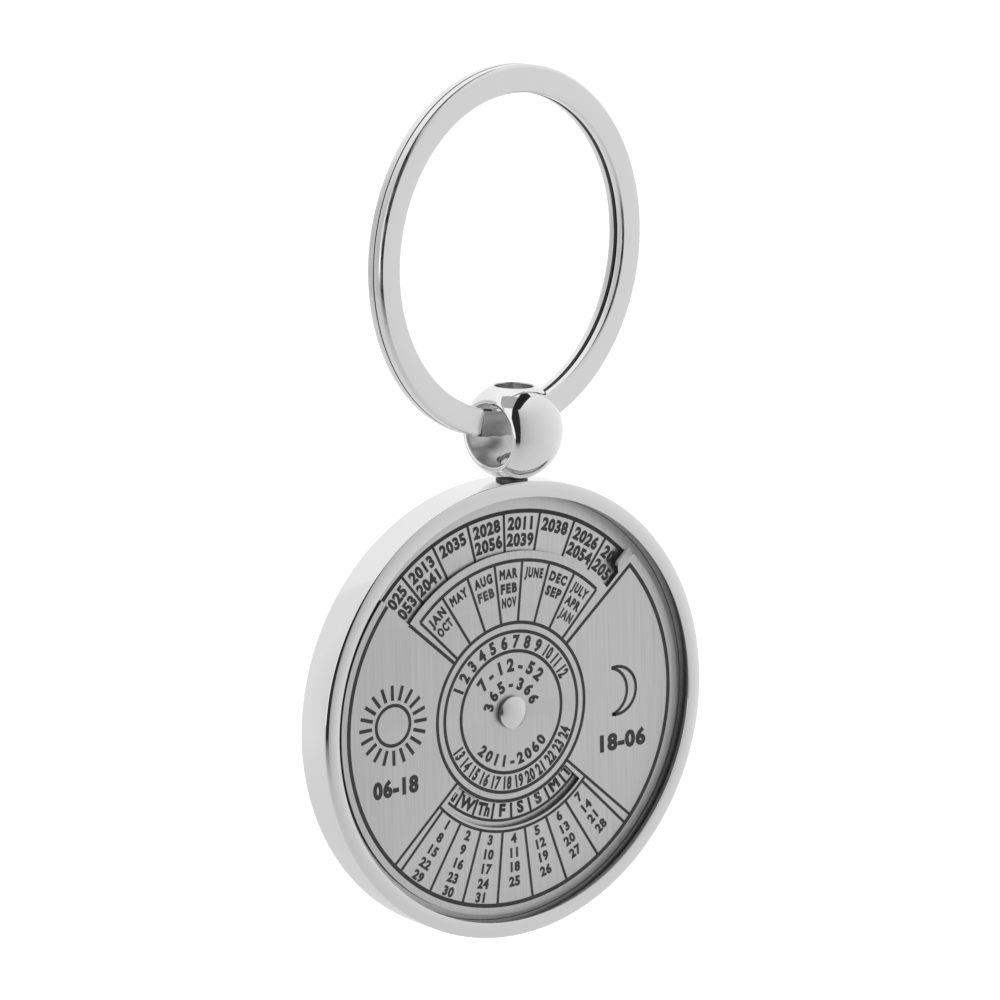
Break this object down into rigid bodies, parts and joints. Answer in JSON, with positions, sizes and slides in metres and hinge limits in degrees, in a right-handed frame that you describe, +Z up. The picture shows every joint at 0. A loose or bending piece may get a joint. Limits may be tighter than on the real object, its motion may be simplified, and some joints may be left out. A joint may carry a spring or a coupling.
{
  "type": "perpetual calendar keyring",
  "caption": "Round chrome keyring calendar: a windowed plate turns on a rivet over a fixed year dial in a rimmed case, which hangs on a swivel ball from a split ring.",
  "frame": {"origin": "centre of the split ring's loop, which holds the keyring up", "axes": "+Z up, from the case through the swivel to the ring; the calendar's face looks along -Y; +X is to the reader's right"},
  "size_m": [0.0393, 0.0084, 0.0744],
  "materials": {
    "chrome_case": "polished chrome plate on a zinc casting",
    "chrome_ball": "mirror chrome",
    "chrome_ring": "polished nickel-chrome plated spring steel",
    "brushed_plate": "straight brushed, printed in dark ink",
    "brushed_dial": "straight brushed, printed in dark ink",
    "rivet_steel": "polished",
    "spring_steel": "plain spring steel",
    "tape": "thin double-sided tape"
  },
  "bodies": {
    "ring": {"split_ring": "chrome_ring"},
    "ball": {"swivel_ball": "chrome_ball"},
    "case": {"case": "chrome_case", "dial_tape": "tape", "year_dial": "brushed_dial", "centre_rivet": "rivet_steel", "friction_washer": "spring_steel", "swivel_pin": "rivet_steel", "swivel_washer": "spring_steel"},
    "plate": {"window_plate": "brushed_plate"}
  },
  "joints": [
    {"name": "ring_swing", "type": "hinge", "parent": "ring", "child": "ball", "pos_m": [0.00128, 0.00022, -0.01532], "axis": [0.9844, 0.1683, 0.0523], "range_deg": [-130, 130]},
    {"name": "case_swivel", "type": "hinge", "parent": "ball", "child": "case", "pos_m": [0.00128, 0.00022, -0.01532], "axis": [0, 0, 1], "continuous": true},
    {"name": "calendar_turn", "type": "hinge", "parent": "case", "child": "plate", "pos_m": [0.00128, -0.00053, -0.03937], "axis": [0, -1, 0], "continuous": true}
  ]
}
